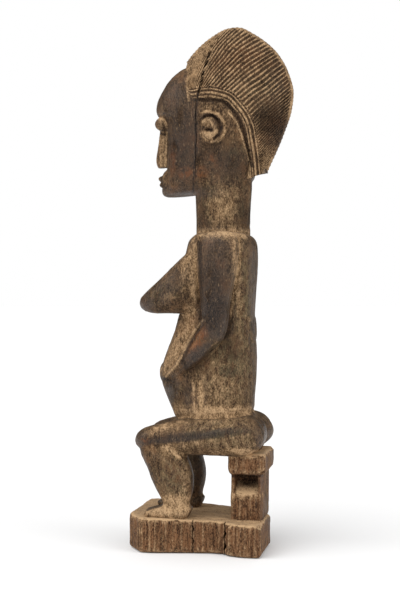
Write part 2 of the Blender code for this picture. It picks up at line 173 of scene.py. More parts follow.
THIGH = [
    (17, 55.5, 63.5, 3, 6),
    (18, 52, 64, 9.5, 13),
    (19, 45, 65, 15, 17.5),
    (20, 34, 65.5, 16.8, 19),
    (21.5, 18, 65.5, 16.2, 18),
    (22.8, 0, 64.6, 14.9, 16),
    (23.5, -18, 63.3, 12.9, 14.5),
    (24, -33, 61.5, 10.8, 13),
    (24, -41, 60, 8.6, 11),
    (24, -46.2, 58.2, 3.5, 5),
]
SHIN = [
    (24, -29.5, 66, 12.5, 10),
    (24, -26.6, 57, 17.3, 12.5),
    (24, -21.2, 44, 16.9, 13.2),
    (24, -16.4, 31, 16.4, 13),
    (24, -14.3, 21, 14.2, 12),
    (24, -13.6, 11, 10.7, 10.4),
    (24, -13.8, 3, 10.0, 10),
    (24, -13.8, -2, 10.0, 10),
]
FOOT = [
    (24, -3, 3, 4.0, 7),
    (24, -6, 4.2, 6, 9.8),
    (24.5, -16, 4.4, 6.4, 10.3),
    (25, -27, 3.6, 4.8, 10.8),
    (25.5, -35.5, 2.6, 3.4, 10.8),
]
TOES = {"count": 5, "first": 17.4, "pitch": 3.9, "tip_y": -40.5, "step": 0.5}
TOE_RADII = (2.1, 4, 2.9)
NOSE = [
    (0, -25.5, 323, 6.6, 2.8),
    (0, -27.4, 303, 7, 3.2),
    (0, -28.2, 288, 8.3, 4.6),
    (0, -27.6, 281, 7, 4.4),
]
NAVEL = ((0, -30.2, 113), (6.5, 2.9, 8))
SEAT_FILLING = ((0, 44, 64.5), (22, 11.2, 14))
MUZZLE = ((0, -23.5, 270.5), (13, 7.5, 9))
LIPS = [((0, -30.6, 271.5), (6.6, 3.6, 2.4)), ((0, -30.0, 266.5), (5.8, 3.4, 2.4))]
EYE = ((10.5, -28.3, 314.8), (7.0, 6.5, 5.8))
EAR_CENTRE = (26.6, 13.3, 308)
EAR_RIM = {"radii": (10.2, 11.6), "tube": 1.5, "span": (-112, 128), "out": 1.9}
EAR_CURL = {"radii": (4.5, 6.4), "tube": 3.3, "span": (-150, 150), "out": 1.3}

# Crest: the hairline and the rim, each (u, y, z), where u is the place along them
HAIRLINE = [
    (0, -9.3, 358), (0.5, -8.2, 352.5), (1.0, -7.1, 345.5), (1.5, -4.6, 339.2),
    (2.2, 7.5, 339.6), (2.76, 16, 339.6), (4.04, 31, 335), (5.0, 39, 327), (5.67, 44.6, 319.6),
    (6.4, 48.6, 311), (7.0, 50.2, 304), (8.37, 52.2, 289.5), (10, 53.2, 275.9),
]
RIM = [
    (0, -10.4, 366), (0.5, -5.2, 372.4), (1.0, 1.9, 379.2), (1.5, 10.5, 385.5),
    (2.2, 23, 391.4), (2.76, 36.8, 390.9), (4.04, 62.4, 371.6), (5.67, 75.4, 345),
    (7.0, 75.0, 324.5), (8.37, 67.6, 303), (10, 56.0, 276.7),
]
# A lock that ends at u on the rim starts at u + lean on the hairline, and bows on its way
HAIR_LEAN = [
    (0, 0), (0.9, 0.1), (1.65, -0.15), (2.65, -0.65), (3.35, -0.85), (4.0, -0.5), (4.6, -0.1),
    (5.65, 0.35), (6.55, 0.45), (7.5, 0.5), (8.55, 0.45), (9.35, 0.25), (10, 0),
]
HAIR_BOW = [(0, 0), (1.3, 1.2), (2.3, 3.4), (3.3, 2.2), (4.2, 0.6), (5, 0), (10, 0)]
# Half width of the hair at the hairline
HAIR_HALF_WIDTH = [
    (0, 10.5), (0.5, 17.5), (1.0, 22.5), (1.5, 26.6), (2.2, 29.0), (4.04, 28.5), (5.67, 27),
    (7.0, 25), (8.37, 22.5), (10, 16),
]
# Grooves passed on the way along the rim: (u, number)
GROOVES_AT = [(0, 0), (1.65, 10), (4.3, 28), (6.5, 40), (10, 58)]
GROOVE_DEPTH = 1.0
GROOVE_WANDER = 0.38
LOCK_SHARPNESS = 3.4
COLUMNS_PER_GROOVE = 8
STITCHES, STITCH_HEIGHT = 49, 0.3
HAIR_ROWS = 46
BAND_ROWS = 20
BAND_WIDTH = 9.0
BAND_STARTS, BAND_FULL = 1.45, 1.8
# Ridges of the band: (place across it, half width, height), the first two as shares of its width
BAND_RIDGES = [(0.14, 0.085, 1.1), (0.46, 0.14, 1.5)]
BAND_SUNK, BAND_DROP = 0.8, 3.0
UNDER_HAIR = 8
RIM_HALF_THICKNESS = 4.5
RIM_ROUNDING, RIM_ROUNDED_HEIGHT = 1.4, 2.0
CREST_BULGE = 1.3
BAND_LEAST = 0.12
CREST_MIDDLE = (28, 325)
NAPE_STARTS, NAPE_DROP = 8.6, 6.0
# Drying crack in the head: (z, y)
CRACK = [
    (256, 1.0), (271, 1.0), (285, 2.0), (291, 1.9), (299, 2.9), (307, 2.6), (323, 2.5), (334, 3.2),
    (341, 4.6), (347, 4.9), (353, 5.9), (363, 7.8), (373, 10.6),
]
CRACK_WIDTH = 1.25
CRACK_OUTSIDE, CRACK_INSIDE = 40, 14
# The head is drawn in under the crest, by this share, over these heights
TUCK, TUCK_HEIGHTS = 0.2, (280, 300)

# Paths in the photograph that are both carved and dusty
BELLY_EDGE = [(203.6, 319.5), (193.6, 332.3), (186.4, 345), (180.9, 357.7), (173.6, 368.6), (164.5, 377.7)]
FOREARM_EDGE = [(217, 342), (208, 348.5), (202, 357), (193, 363)]
HIP_EDGE = [(193.2, 383), (194.6, 413)]
BAND_EDGE = [(228, 112), (236, 121), (241.5, 134), (244.8, 146), (248.6, 160)]
TEMPLE_SCARS = [
    [(176.3, 124), (176.8, 133)],
    [(179.8, 123.5), (180.2, 132)],
    [(183.4, 124.5), (183.6, 131)],
]

# Marks cut or raised in the surface: (path in the photograph, half width, height)
BODY_MARKS = [
    (BELLY_EDGE, 1.3, 1.1),
    ([(200.5, 318), (190, 331), (182.6, 344), (177, 356), (170.5, 366)], 1.5, -0.8),
    ([(207, 322), (198, 334), (191, 346), (186, 356)], 1.2, -0.6),
    ([(220, 343), (210.4, 353), (203, 361.5), (194, 368), (182, 375)], 1.5, -1.1),
    (FOREARM_EDGE, 1.0, 0.5),
    ([(240, 238), (239.5, 261), (236.5, 280), (232.5, 298), (230, 316), (226, 334)], 3.0, -1.4),
    ([(199, 238), (195.5, 261), (197, 279.5), (199.4, 297.7), (201.4, 316)], 2.0, -1.3),
    ([(175, 418), (195, 417), (220, 416), (240, 414.5), (253, 411)], 2.6, -1.5),
    ([(200, 382), (200.6, 412)], 3.0, -1.0),
    (HIP_EDGE, 0.9, 0.6),
    ([(164, 447), (172, 451), (180, 458), (186, 468)], 1.6, 0.9),
    ([(158, 451), (168, 457), (176, 466)], 2.6, -0.8),
    ([(249, 318), (252, 327), (255, 339)], 1.1, 1.0),
    ([(246, 318), (249, 328), (252, 340)], 1.3, -0.9),
    ([(147, 438.5), (170, 437.5), (192, 436), (212, 429), (230, 422)], 2.8, -1.0),
    ([(158, 431), (180, 428), (200, 423)], 3.0, 0.4),
    ([(190, 357), (178, 371)], 0.5, -0.6),
    ([(193.5, 358.5), (181, 372.5)], 0.5, -0.6),
    ([(197, 360), (185, 373)], 0.5, -0.6),
    ([(198, 250), (194, 262), (190, 276)], 2.4, -0.6),
]
CREST_CRACK = ([(210.5, 52), (206, 64), (203, 73), (201.5, 83), (198.5, 92)], 0.9, -2.4)
UNDER_BAND = [
    (200, 99.6), (212, 99), (222, 100), (232, 108.6), (239.6, 120), (245, 135), (249, 152),
    (252, 164),
]
HEAD_MARKS = [
    (BAND_EDGE, 1.0, 0.9),
    (UNDER_BAND, 1.6, -1.3),
    (TEMPLE_SCARS[0], 0.8, -0.8),
    (TEMPLE_SCARS[1], 0.8, -0.8),
    (TEMPLE_SCARS[2], 0.7, -0.6),
    ([(175, 141), (180, 142.5)], 0.8, -0.5),
    ([(204, 117), (212, 115.4), (219, 120), (221.6, 127), (220, 134), (214.6, 139)], 1.0, -1.3),
    ([(207, 129.5), (211.5, 129.5)], 1.3, -1.3),
    ([(197, 226), (222, 225), (249, 226)], 2.2, -0.4),
    ([(167, 120), (168.2, 135), (168.5, 160), (171, 188)], 1.2, 0.5),
]

# Painted areas: (x, y in the photograph, two half axes, turn in degrees, strength)
AREA_EDGE = 0.7
DUST_AND_HIGHLIGHT = [
    (222, 233, 34, 5.5, 0, 1.0), (237, 275, 4, 44, 4, 0.65), (194, 276, 5, 38, 0, 0.8),
    (188, 262, 7, 26, -14, 0.6), (192, 312, 9, 12, -30, 0.6), (177, 344, 10, 38, -28, 0.7),
    (200.5, 398, 3.6, 20, 0, 1.0), (222, 386, 16, 24, 0, 0.5), (212, 411, 46, 6, 0, 1.0),
    # The knee crease's patch at (168, 449) is a painted highlight as well as dust
    (168, 424, 20, 5, 20, 0.6), (168, 449, 7, 5, -30, 0.9), (215, 453, 20, 3.4, 0, 0.55),
    (195, 442, 20, 6, 0, 0.45), (186, 478, 5, 22, 0, 0.4), (162, 146, 3.6, 34, 0, 0.8),
    (197, 70, 6, 24, -20, 0.3), (212, 47, 28, 12, 28, 0.4), (210, 134, 10, 6, 0, 0.9),
    (206, 122, 6, 5, 0, 0.7), (215, 108, 18, 5, 0, 0.25), (236, 112, 12, 14, -40, 0.2),
    (179.5, 128, 6, 6, 0, 0.35), (225, 208, 18, 20, 0, 0.6), (160, 218, 40, 8, 0, 0.2),
    (205, 440, 50, 16, 0, 0.3), (166, 508, 38, 9, 0, 1.0), (178, 500, 24, 6, 0, 0.9),
    (170, 296, 8, 5, 0, 0.4), (247, 452, 24, 3.4, -6, 1.0), (248, 496, 15, 3.6, 0, 1.0),
]
POLISH = [
    (215, 262, 14, 30, 0, 1.0), (214, 300, 13, 26, 3, 1.0), (216, 328, 13, 10, 35, 1.0),
    (197, 354, 17, 6.5, 42, 0.9), (165, 290, 24, 11, 35, 0.6), (146, 302, 8, 8, 0, 0.9),
    (184, 140, 14, 48, 0, 0.85), (172, 100, 16, 18, 0, 1.0), (190, 192, 28, 7, 0, 0.8),
    (141, 437, 6, 9, 0, 0.9), (190, 436, 46, 4, 6, 0.85), (264, 431, 7, 17, 0, 1.0),
    (146, 470, 4, 32, 20, 0.6), (252, 290, 4, 55, 0, 0.6), (222, 165, 22, 18, 0, 0.5),
    (172, 385, 7, 12, 0, 0.8), (190, 400, 6, 16, 0, 0.6), (280, 95, 12, 40, 0, 0.3),
]
RUST = [
    (198, 341, 4.4, 13, -34, 1.0), (186, 173, 7, 5, 0, 0.75), (201, 173, 6, 6, 0, 0.6),
    (173, 160, 3.5, 12, 0, 0.5), (145, 440, 3.0, 2.2, 0, 1.0), (212, 160, 5, 5, 0, 0.5),
    (235, 60, 20, 14, 0, 0.35), (186, 330, 6, 20, -28, 0.35),
]
CRUST = [
    (243, 305, 10, 60, 0, 0.9), (228, 372, 26, 34, 0, 0.9), (222, 434, 36, 16, 0, 0.8),
    (174, 478, 16, 28, 0, 0.85), (255, 92, 24, 22, 0, 0.5), (226, 205, 24, 24, 0, 0.6),
    (235, 150, 14, 14, 0, 0.5), (180, 400, 12, 14, 0, 0.4), (165, 292, 20, 10, 35, 0.4),
]
# Dark patina and painted shade: the arm and the thigh's streak are darkened as patina, and the far side of
# the head and hair, the eye's lower side and the places under the slab get painted shade
DARK_PATINA_AND_SHADE = [
    (215, 285, 12, 20, 0, 0.55), (214, 312, 13, 24, 0, 1.0), (222, 334, 8, 7, 0, 0.7),
    (198, 357, 17, 7, 42, 0.8), (182, 145, 14, 30, 0, 0.6), (230, 160, 16, 14, 0, 0.5),
    (205, 150, 24, 9, 0, 0.35), (190, 437, 48, 3.4, 6, 0.8), (250, 482, 11, 5.5, 0, 1.0),
    (146, 304, 6, 6, 0, 0.5), (275, 128, 14, 26, 20, 0.8), (228, 345, 8, 5, 35, 0.4),
    (243, 215, 8, 16, 0, 0.5), (203, 215, 4, 16, 0, 0.35), (232, 355, 6, 6, 0, 0.5),
    (228, 372, 8, 5, 0, 0.5), (172, 390, 5, 10, 0, 0.6), (258, 520, 3, 40, 0, 0.3),
    (164, 129, 4, 4, 0, 0.7), (201, 482, 8, 30, 0, 0.5),
]

# Painted lines: (path in the photograph, half width, strength)
LINE_FULLNESS = 1.6
# Painted shade along the crack, under the band, in the ear's groove and notch, along the arm's edges, under
# the slab, between the lips and under the eyelid, and a dark line on the back's scar
SHADE_AND_DARK_LINES = [
    ([(210.5, 52), (206, 64), (203, 73), (201.5, 83), (198.5, 91), (197, 100)], 0.9, 1.0),
    ([(197, 100), (195.6, 113), (195.6, 150), (194, 170), (193, 195)], 0.8, 1.0),
    ([(200, 99.6), (222, 100), (232, 108.6), (239.6, 120), (245, 135), (249, 152), (252, 166)], 1.5, 0.8),
    ([(202, 118), (207, 115), (213, 115.6), (218.6, 120.6), (221, 128), (219, 134), (214, 138.6)], 1.3, 1.0),
    ([(207, 129.5), (211.5, 130)], 1.6, 1.0),
    ([(200, 243), (200.6, 270), (202, 300), (204, 318)], 1.6, 0.85),
    ([(206, 322), (196, 334), (189, 347), (182, 362)], 1.2, 0.7),
    ([(163, 378.5), (169, 380.5)], 1.4, 0.9),
    ([(229, 476), (262, 476)], 1.4, 0.9),
    ([(155.5, 185), (161, 186)], 1.0, 0.9),
    ([(251, 322), (254, 332)], 1.0, 0.7),
    ([(157, 133.5), (165, 134)], 1.2, 0.7),
    ([(161, 176), (164, 190)], 1.2, 0.5),
]
DUST_AND_HIGHLIGHT_LINES = [
    (BELLY_EDGE, 1.2, 1.0),
    (FOREARM_EDGE, 1.0, 0.7),
    (HIP_EDGE, 1.1, 0.8),
    # The knee crease: a painted highlight as well as dust
    ([(164, 447), (172, 451), (180, 458)], 1.8, 0.9),
    ([(187, 79), (187.4, 90), (188.6, 101)], 1.1, 0.9),
    (TEMPLE_SCARS[0], 0.9, 0.9),
    (TEMPLE_SCARS[1], 0.9, 0.9),
    (TEMPLE_SCARS[2], 0.9, 0.8),
    ([(158, 118), (163, 119.5), (166, 124), (167, 132), (166, 140), (165, 168)], 1.3, 1.0),
    ([(200, 112.6), (208, 111), (218, 114), (224, 122), (224.6, 132), (220, 140), (210, 142.6)], 1.2, 0.8),
    ([(202, 134), (207, 138), (213, 137), (217, 131)], 2.2, 0.9),
    ([(203, 122), (208, 121), (212, 124)], 1.8, 0.8),
    ([(240, 240), (240, 262), (237.4, 280), (233.5, 298), (231, 316)], 1.4, 0.6),
    (BAND_EDGE, 1.0, 0.8),
    ([(249, 318), (252, 325), (256, 331)], 1.0, 0.7),
]

# Unevenness of a surface: layers of noise, each (height, size, seed)
KNIFE_MARKS = [(1, 17, 1), (0.5, 7, 2), (0.3, 3.1, 3)]
UPRIGHT_GRAIN = [(1, (1.7, 1.7, 16), 4), (0.6, (1.1, 1.1, 6), 5)]
MOTTLE = [(1, 21, 9), (0.5, 8, 10)]
SIDE_GROOVES = [(0.42, (2.1, 2.1, 40), 31), (0.25, (1.3, 1.3, 14), 32)]
BROKEN_EDGES = [(1, (6, 6, 4), 33), (0.4, 2.2, 34)]
DENTS = [(0.3, 13, 35), (0.15, 4, 36)]
TOP_GRAIN = [(0.35, (2.6, 22, 9), 37)]
BROKEN_DEPTH = 1.1

# Recesses are found with short rays
RECESS_REACH = 11
RECESS_RAYS, QUICK_RECESS_RAYS = 9, 5

# Where a measure of the surface goes from none to full
FACING = (0.02, 0.4)
RECESSED = (0.16, 0.5)
# Deep recesses, where most short rays meet the carving, get painted shade
DEEP_SHADE = (0.7, 0.95)
BENT = (0.0, 0.10)
LOOKING_UP = (0.3, 0.9)
SHARP_EDGE = math.radians(52)

# Colours of the wood and of what lies on it
FIGURE_TONES = {"dark": (0.026, 0.016, 0.010), "middle": (0.125, 0.074, 0.040)}
BASE_TONES = {"dark": (0.034, 0.017, 0.009), "middle": (0.220, 0.108, 0.052)}
RUDDY = (0.135, 0.058, 0.025)
CRUSTED = (0.135, 0.112, 0.062)
POLISHED = (0.030, 0.017, 0.011)
BARE = (0.200, 0.072, 0.026)
# Colours of the dust, which also paint the knee crease's highlight
DULL_DUST_AND_HIGHLIGHT, PALE_DUST_AND_HIGHLIGHT = (0.215, 0.128, 0.062), (0.56, 0.370, 0.205)
# Near black, for dark flecks and dark patina, and for painted shade in cracks, grooves, hollows and recesses
BLACK_AND_SHADE = (0.013, 0.008, 0.006)
SCRATCHED = (0.330, 0.215, 0.120)

# How dusty each wood is all over, in painted areas (partly a painted highlight), on edges and on what looks
# up, and how much painted shade darkens its hollows, such as the grooves of the hair
FIGURE_LOOK = {"dust_base": 0.17, "dust_and_highlight_seen": 0.62, "on_edges": 0.1, "on_top": 0.1, "shade_in_hollows": 0.0}
HAIR_LOOK = {"dust_base": 0.25, "dust_and_highlight_seen": 0.30, "on_edges": 0.55, "on_top": -0.2, "shade_in_hollows": 0.45}
BASE_LOOK = {"dust_base": 0.18, "dust_and_highlight_seen": 0.4, "on_edges": 0.3, "on_top": 1.0, "shade_in_hollows": 0.4}

# Studio: the white world's strength as a light and in reflections, and the lamps
WORLD_LIGHT, WORLD_REFLECTED = 0.70, 0.08
KEY = {"place": (0.85, -0.75, 1.3), "softness": 60, "strength": 1.8}
REAR = {"place": (0.4, 1.2, 0.8), "softness": 40, "strength": 0.8}


def through(keys, t):
    """The values at t on the smooth curve through keys, each key being (t, value, value, ...)."""
    i = sum(key[0] <= t for key in keys) - 1
    i = max(0, min(len(keys) - 2, i))
    a, b = np.array(keys[i], float), np.array(keys[i + 1], float)
    before = np.array(keys[max(i - 1, 0)], float)
    after = np.array(keys[min(i + 2, len(keys) - 1)], float)
    span = b[0] - a[0]
    s = (t - a[0]) / span
    leaving = (b - before) / (b[0] - before[0]) * span
    arriving = (after - a) / (after[0] - a[0]) * span
    curve = (
        a * (2 * s**3 - 3 * s**2 + 1)
        + leaving * (s**3 - 2 * s**2 + s)
        + b * (3 * s**2 - 2 * s**3)
        + arriving * (s**3 - s**2)
    )
    return curve[1:]


def ramp(value, low, high):
    """0 up to low, 1 from high, smooth between."""
    t = np.clip((value - low) / (high - low), 0, 1)
    return t * t * (3 - 2 * t)


def superellipse(sides, power):
    """The two coordinates of points round a rounded square, of half width 1."""
    angle = 2 * math.pi * (np.arange(sides) + 0.5) / sides
    c, s = np.cos(angle), np.sin(angle)
    return np.sign(c) * abs(c) ** (2 / power), np.sign(s) * abs(s) ** (2 / power)


def loft(rings):
    """A closed shell through equal rings, as points and faces."""
    rings = np.asarray(rings)
    count, sides = rings.shape[:2]
    index = np.arange(count * sides).reshape(count, sides)
    low, high = index[:-1], index[1:]
    quads = np.stack((low, np.roll(low, -1, 1), np.roll(high, -1, 1), high), -1).reshape(-1, 4)
    faces = quads.tolist()
    faces.append(index[0][::-1].tolist())
    faces.append(index[-1].tolist())
    return rings.reshape(-1, 3), faces


def level_shell(rows, count, sides, power):
    """A shell of level sections. Each row is (z, front y, back y, half width, rise)."""
    along, across = superellipse(sides, power)
    rings = []
    for z in np.linspace(rows[0][0], rows[-1][0], count):
        front, back, half_width, lift = through(rows, z)
        y = (front + back) / 2 + across * (back - front) / 2
        rings.append(np.stack((along * half_width, y, z + across * lift), -1))
    return loft(rings)


def limb_shell(rows, count, sides, side, power=2.0, upright=False):
    """A shell along a path, with its sections square to the path, or upright."""
    keys = [(t, *row) for t, row in enumerate(rows)]
    values = [through(keys, t) for t in np.linspace(0, len(rows) - 1, count)]
    centres = np.array([(side * v[0], v[1], v[2]) for v in values])
    along, around = superellipse(sides, power)
    rings = []
    for i, v in enumerate(values):
        ahead = Vector(centres[min(i + 1, count - 1)] - centres[max(i - 1, 0)])
        across = Vector((1, 0, 0)).cross(ahead).normalized()
        outward = ahead.cross(across).normalized()
        if upright:
            across, outward = Vector((0, 0, 1)), Vector((1, 0, 0))
        ring = centres[i] + np.outer(along * v[3], across) + np.outer(around * v[4], outward)
        rings.append(ring)
    return loft(rings)


def ball_shell(centre, radii, sides=40, count=24):
    rings = []
    pole = 0.02
    for angle in np.linspace(pole, math.pi - pole, count):
        turn = 2 * math.pi * np.arange(sides) / sides
        ring = np.stack((np.cos(turn), np.sin(turn), np.zeros(sides)), -1) * math.sin(angle)
        ring[:, 2] = -math.cos(angle)
        rings.append(np.array(centre) + ring * np.array(radii))
    return loft(rings)


def ear_shells(side):
    """The thin outer rim, open to the front, and the thick inner curl."""
    shells = []
    steps, sides = 44, 16
    x, y, z = EAR_CENTRE
    for shape in (EAR_RIM, EAR_CURL):
        across, up = shape["radii"]
        angles = np.radians(np.linspace(*shape["span"], steps))
        from_end = np.minimum(np.arange(steps), np.arange(steps)[::-1]) / (steps - 1)
        fade = np.minimum(1, 0.35 + 3 * from_end)
        turn = 2 * math.pi * np.arange(sides) / sides
        rings = []
        for angle, share in zip(angles, fade):
            thick = shape["tube"] * share
            spoke = np.array((0, math.cos(angle), math.sin(angle)))
            middle = np.array((side * x, y + across * spoke[1], z + up * spoke[2]))
            outward = np.array((side * shape["out"] * thick, 0, 0))
            rings.append(middle + np.outer(np.cos(turn) * thick, spoke) + np.outer(np.sin(turn), outward))
        shells.append(loft(rings))
    return shells


def new_object(name, shells):
    """One object of several closed shells, given in millimetres over the plinth's top."""
    points, faces, start = [], [], 0
    for shell_points, shell_faces in shells:
        points.append(shell_points)
        faces += [[start + i for i in face] for face in shell_faces]
        start += len(shell_points)
    places = (np.concatenate(points) + (0, -CENTRE_Y, PLINTH_TOP)) * MM
    mesh = bpy.data.meshes.new(name)
    mesh.from_pydata(places.tolist(), [], faces)
    work = bmesh.new()
    work.from_mesh(mesh)
    bmesh.ops.recalc_face_normals(work, faces=work.faces)
    work.to_mesh(mesh)
    work.free()
    obj = bpy.data.objects.new(name, mesh)
    bpy.context.scene.collection.objects.link(obj)
    return obj


def settle(obj):
    """Replace the object's mesh by what its modifiers make of it."""
    graph = bpy.context.evaluated_depsgraph_get()
    made = bpy.data.meshes.new_from_object(obj.evaluated_get(graph))
    obj.modifiers.clear()
    obj.data = made


def remesh(obj, voxel):
    """One even, closed skin round all the object's shells."""
    skin = obj.modifiers.new("skin", "REMESH")
    skin.mode = "VOXEL"
    skin.voxel_size = voxel * MM * 1
    settle(obj)


def cut(obj, cutter):
    """Take the cutter's shape out of the object, and the cutter out of the scene."""
    boolean = obj.modifiers.new("cut", "BOOLEAN")
    boolean.operation = "DIFFERENCE"
    boolean.solver = "MANIFOLD"
    boolean.object = cutter
    settle(obj)
    bpy.data.objects.remove(cutter, do_unlink=True)


def points_of(mesh):
    """The mesh's points, in millimetres over the underside of the plinth."""
    flat = np.empty(len(mesh.vertices) * 3)
    mesh.vertices.foreach_get("co", flat)
    return flat.reshape(-1, 3) / MM


def set_points(mesh, points):
    mesh.vertices.foreach_set("co", (points * MM).ravel())
    mesh.update()


def normals_of(mesh):
    flat = np.empty(len(mesh.vertices) * 3)
    mesh.vertex_normals.foreach_get("vector", flat)
    return flat.reshape(-1, 3)


def neighbour_mean(mesh, values):
    """The mean of the values at each point's neighbours."""
    ends = np.empty(len(mesh.edges) * 2, dtype=np.int32)
    mesh.edges.foreach_get("vertices", ends)
    a, b = ends.reshape(-1, 2).T
    count = len(mesh.vertices)
    degree = np.bincount(a, minlength=count) + np.bincount(b, minlength=count)
    columns = values.reshape(count, -1).T
    sums = [
        np.bincount(a, c[b], minlength=count) + np.bincount(b, c[a], minlength=count)
        for c in columns
    ]
    return (np.array(sums) / np.maximum(degree, 1)).T.reshape(values.shape)


def soften(mesh, rounds, hollow_share):
    """Smooth the surface: hollows fully or by hollow_share, and the rest lightly."""
    for _ in range(rounds):
        points = points_of(mesh)
        move = neighbour_mean(mesh, points) - points
        hollow = (move * normals_of(mesh)).sum(1, keepdims=True) > 0
        set_points(mesh, points + move * np.where(hollow, hollow_share, OUTWARD_SHARE))


def lattice_noise(points, size, seed):
    """Smooth noise from -1 to 1. The size is one number, or one for each axis."""
    place = points / np.asarray(size, float)
    corner = np.floor(place).astype(np.int64)
    part = place - corner
    part = part * part * (3 - 2 * part)
    total = np.zeros(len(points))
    for dx in (0, 1):
        for dy in (0, 1):
            for dz in (0, 1):
                x, y, z = (corner + (dx, dy, dz)).T
                mixed = x * 73856093 ^ y * 19349663 ^ z * 83492791 ^ seed * 2654435761
                mixed = (mixed ^ (mixed >> 13)) * 1274126177 & 0x7FFFFFFF
                value = (mixed % 20011) / 10005.0 - 1
                wx = part[:, 0] if dx else 1 - part[:, 0]
                wy = part[:, 1] if dy else 1 - part[:, 1]
                wz = part[:, 2] if dz else 1 - part[:, 2]
                total += value * wx * wy * wz
    return total


def layered(points, layers):
    """The sum of layers of noise."""
    return sum(height * lattice_noise(points, size, seed) for height, size, seed in layers)


def in_photo(points):
    """The photograph's pixels of points on the side it shows, and of their mirror images."""
    near = points.copy()
    near[:, 0] = abs(near[:, 0])
    offset = near - TARGET
    depth = DISTANCE - offset @ TOWARDS_CAMERA
    x = PHOTO_SIZE[0] / 2 + FOCAL_PIXELS * (offset @ CAMERA_RIGHT) / depth
    y = PHOTO_SIZE[1] / 2 - FOCAL_PIXELS * offset[:, 2] / depth
    return np.stack((x, y), -1)


def facing(points, normals):
    """How far each point, or its mirror image, is turned to the camera, from 0 to 1."""
    turned = normals.copy()
    turned[:, 0] *= np.where(points[:, 0] < 0, -1, 1)
    return ramp(turned @ TOWARDS_CAMERA, *FACING)


def from_path(pixels, path):
    """The distance from each pixel to a path, in pixels."""
    best = np.full(len(pixels), 1e9)
    for start, end in zip(path, path[1:]):
        start, run = np.array(start, float), np.subtract(end, start)
        share = np.clip((pixels - start) @ run / (run @ run), 0, 1)
        best = np.minimum(best, np.linalg.norm(pixels - start - share[:, None] * run, axis=1))
    return best


def carve_marks(mesh, marks):
    """Raise or cut each mark, along the surface's normals."""
    points, normals = points_of(mesh), normals_of(mesh)
    pixels, towards = in_photo(points), facing(points, normals)
    height = np.zeros(len(points))
    for path, half_width, rise in marks:
        height += rise * np.exp(-((from_path(pixels, path) / half_width) ** 2))
    set_points(mesh, points + normals * (height * towards)[:, None])


def weather(mesh, uneven, grain):
    """The knife's uneven surface, and fine wear that runs with the upright grain."""
    points, normals = points_of(mesh), normals_of(mesh)
    height = uneven * layered(points, KNIFE_MARKS) + grain * layered(points, UPRIGHT_GRAIN)
    set_points(mesh, points + normals * height[:, None])


def painted(points, normals, areas, elsewhere):
    """How strongly the areas cover each point, and a mottled share on what isn't seen."""
    pixels, towards = in_photo(points), facing(points, normals)
    cover = np.zeros(len(points))
    for x, y, half_wide, half_tall, turn, strength in areas:
        away = pixels - (x, y)
        c, s = math.cos(math.radians(turn)), math.sin(math.radians(turn))
        a = (away[:, 0] * c - away[:, 1] * s) / half_wide
        b = (away[:, 0] * s + away[:, 1] * c) / half_tall
        cover = np.maximum(cover, strength * np.exp(-((a * a + b * b) ** 1.5) * AREA_EDGE))
    mottled = elsewhere * (1 + layered(points, MOTTLE))
    return np.clip(towards * cover + (1 - towards) * mottled, 0, 1)


def lined(points, normals, lines):
    """How strongly the lines cover each point."""
    pixels, towards = in_photo(points), facing(points, normals)
    cover = np.zeros(len(points))
    for path, half_width, strength in lines:
        near = LINE_FULLNESS * np.exp(-((from_path(pixels, path) / half_width) ** 2))
        cover = np.maximum(cover, strength * np.minimum(near, 1))
    return cover * towards


def hidden_share(objects):
    """For each object's points, the share of short rays that meet the carving: its recesses."""
    tree = whole_tree(objects)
    golden = math.pi * (3 - math.sqrt(5))
    count = RECESS_RAYS
    rays = []
    for i in range(count):
        height = 1 - (i + 0.5) / count * 0.85
        flat = math.sqrt(1 - height * height)
        rays.append((flat * math.cos(golden * i), flat * math.sin(golden * i), height))
    reach = RECESS_REACH * MM
    lift = 0.3 * MM
    shares = []
    for obj in objects:
        points, normals = points_of(obj.data), normals_of(obj.data)
        share = np.empty(len(points))
        for n, (point, normal) in enumerate(zip(points * MM, normals)):
            up = Vector(normal)
            side = up.orthogonal().normalized()
            over = up.cross(side)
            start = Vector(point) + up * lift
            met = 0.0
            for a, b, c in rays:
                distance = tree.ray_cast(start, side * a + over * b + up * c, reach)[3]
                if distance is not None:
                    met += 1 - distance / reach
            share[n] = met / count
        for _ in range(2):
            share = 0.5 * share + 0.5 * neighbour_mean(obj.data, share)
        shares.append(share)
    return shares


def whole_tree(objects):
    """One search tree over the faces of all the objects."""
    points, faces, start = [], [], 0
    for obj in objects:
        mesh = obj.data
        mesh.calc_loop_triangles()
        corners = np.empty(len(mesh.loop_triangles) * 3, dtype=np.int32)
        mesh.loop_triangles.foreach_get("vertices", corners)
        points.append(points_of(mesh) * MM)
        faces.append(corners.reshape(-1, 3) + start)
        start += len(mesh.vertices)
    return BVHTree.FromPolygons(np.concatenate(points).tolist(), np.concatenate(faces).tolist())


def curvature(mesh):
    """Positive in hollows and negative on edges, over two to three millimetres."""
    points, normals = points_of(mesh), normals_of(mesh)
    smooth = points
    for _ in range(4):
        smooth = neighbour_mean(mesh, smooth)
    bend = ((smooth - points) * normals).sum(1)
    return 0.5 * bend + 0.5 * neighbour_mean(mesh, bend)


def set_attribute(mesh, name, values):
    attribute = mesh.attributes.new(name, "FLOAT", "POINT")
    attribute.data.foreach_set("value", np.ascontiguousarray(values, dtype=np.float32))


def tucked(shell):
    """The head's shell, drawn in where the crest covers it."""
    points, faces = shell
    line = np.array(HAIRLINE)[::-1]
    cover = points[:, 1] - np.interp(points[:, 2], line[:, 2], line[:, 1])
    share = TUCK * ramp(cover, -1, 14) * ramp(points[:, 2], *TUCK_HEIGHTS)
    return points * np.stack((1 - share, np.ones_like(share), np.ones_like(share)), -1), faces


